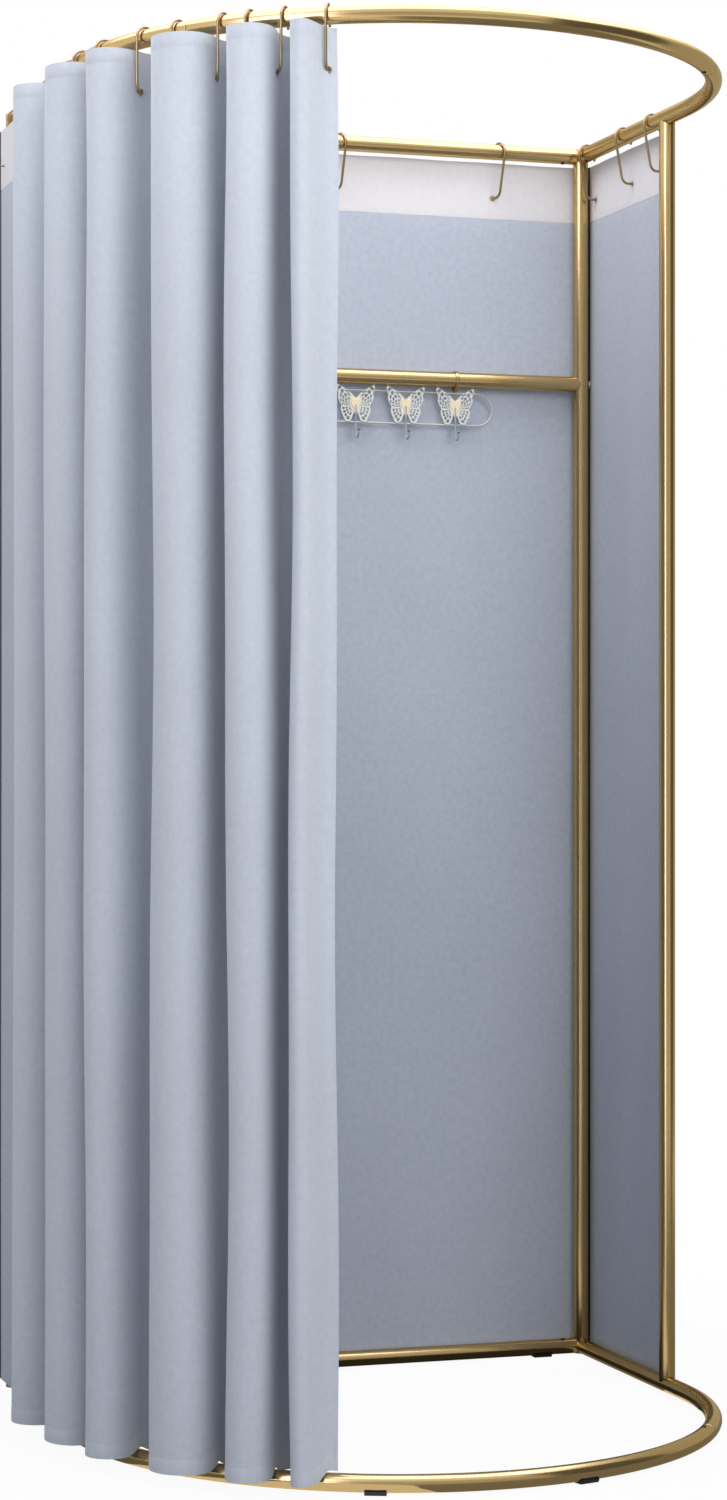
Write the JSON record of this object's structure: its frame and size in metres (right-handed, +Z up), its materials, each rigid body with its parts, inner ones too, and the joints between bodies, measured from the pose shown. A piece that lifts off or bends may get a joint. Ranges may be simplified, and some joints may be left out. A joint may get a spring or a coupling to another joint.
{
  "type": "portable fitting room",
  "caption": "Free-standing D-shaped changing cabin of gold tube with flat cloth walls, a hook-hung curtain that slides round the curved front rail, and a butterfly hook rack on a crossbar.",
  "frame": {"origin": "middle of the whole room's bounding box in plan, at floor level", "axes": "+Z up; the back rail runs along X at the rear (+Y); the curved front and the entrance face -Y; the gathered curtain is at -X"},
  "size_m": [1.0618, 0.9342, 2.0044],
  "materials": {
    "tube": "polished brass-gold plating",
    "hook_wire": "polished brass-gold plating",
    "bolt": "polished",
    "rubber": "matte black",
    "wall_cloth": "blue-grey linen weave with an off-white top band",
    "curtain_cloth": "blue-grey linen weave",
    "filigree": "cream-gold satin"
  },
  "bodies": {
    "frame": {"top_front_arc": "tube", "top_back_rail": "tube", "top_left_rail": "tube", "top_right_rail": "tube", "base_front_arc": "tube", "base_back_rail": "tube", "base_left_rail": "tube", "base_right_rail": "tube", "front_left_upright": "tube", "front_right_upright": "tube", "back_left_upright": "tube", "back_right_upright": "tube", "crossbar": "tube", "crossbar_bolt_left": "bolt", "crossbar_bolt_right": "bolt", "foot_pad_front_left": "rubber", "foot_pad_front_right": "rubber", "foot_pad_back_left": "rubber", "foot_pad_back_right": "rubber", "back_cloth_wall": "wall_cloth", "left_cloth_wall": "wall_cloth", "right_cloth_wall": "wall_cloth", "back_hook_left_1": "hook_wire", "back_hook_left_2": "hook_wire", "back_hook_right_1": "hook_wire", "back_hook_right_2": "hook_wire", "side_hook_left_1": "hook_wire", "side_hook_left_2": "hook_wire", "side_hook_left_3": "hook_wire", "side_hook_right_1": "hook_wire", "side_hook_right_2": "hook_wire", "side_hook_right_3": "hook_wire", "curtain_fold_1": "curtain_cloth", "curtain_hook_1": "hook_wire", "curtain_hook_2": "hook_wire", "curtain_hook_3": "hook_wire"},
    "curtain_2": {"curtain_fold_2": "curtain_cloth", "curtain_hook_4": "hook_wire"},
    "curtain_3": {"curtain_fold_3": "curtain_cloth", "curtain_hook_5": "hook_wire", "curtain_hook_6": "hook_wire"},
    "curtain_4": {"curtain_fold_4": "curtain_cloth", "curtain_hook_7": "hook_wire", "curtain_hook_8": "hook_wire"},
    "curtain_5": {"curtain_fold_5": "curtain_cloth", "curtain_hook_9": "hook_wire"},
    "curtain_6": {"curtain_fold_6": "curtain_cloth", "curtain_hook_10": "hook_wire"},
    "rack": {"rack_frame": "filigree", "butterfly_1": "filigree", "butterfly_2": "filigree", "butterfly_3": "filigree", "butterfly_4": "filigree", "butterfly_5": "filigree", "butterfly_6": "filigree", "butterfly_7": "filigree"}
  },
  "joints": [
    {"name": "curtain_2_slide", "type": "hinge", "parent": "frame", "child": "curtain_2", "pos_m": [0.02422, 0.02539, 1.9875], "axis": [0, 0, 1], "range_deg": [0, 22.5]},
    {"name": "curtain_3_slide", "type": "hinge", "parent": "curtain_2", "child": "curtain_3", "pos_m": [0.02422, 0.02539, 1.9875], "axis": [0, 0, 1], "range_deg": [0, 22.5]},
    {"name": "curtain_4_slide", "type": "hinge", "parent": "curtain_3", "child": "curtain_4", "pos_m": [0.02422, 0.02539, 1.9875], "axis": [0, 0, 1], "range_deg": [0, 22.5]},
    {"name": "curtain_5_slide", "type": "hinge", "parent": "curtain_4", "child": "curtain_5", "pos_m": [0.02422, 0.02539, 1.9875], "axis": [0, 0, 1], "range_deg": [0, 22.5]},
    {"name": "curtain_6_slide", "type": "hinge", "parent": "curtain_5", "child": "curtain_6", "pos_m": [0.02422, 0.02539, 1.9875], "axis": [0, 0, 1], "range_deg": [0, 22.5]},
    {"name": "rack_swing", "type": "hinge", "parent": "frame", "child": "rack", "pos_m": [0.02422, 0.44039, 1.61], "axis": [-1, 0, 0], "range_deg": [-6, 75]}
  ],
  "couplings": [
    {"joint": "curtain_3_slide", "follows": "curtain_2_slide", "ratio": 1},
    {"joint": "curtain_4_slide", "follows": "curtain_2_slide", "ratio": 1},
    {"joint": "curtain_5_slide", "follows": "curtain_2_slide", "ratio": 1},
    {"joint": "curtain_6_slide", "follows": "curtain_2_slide", "ratio": 1}
  ]
}
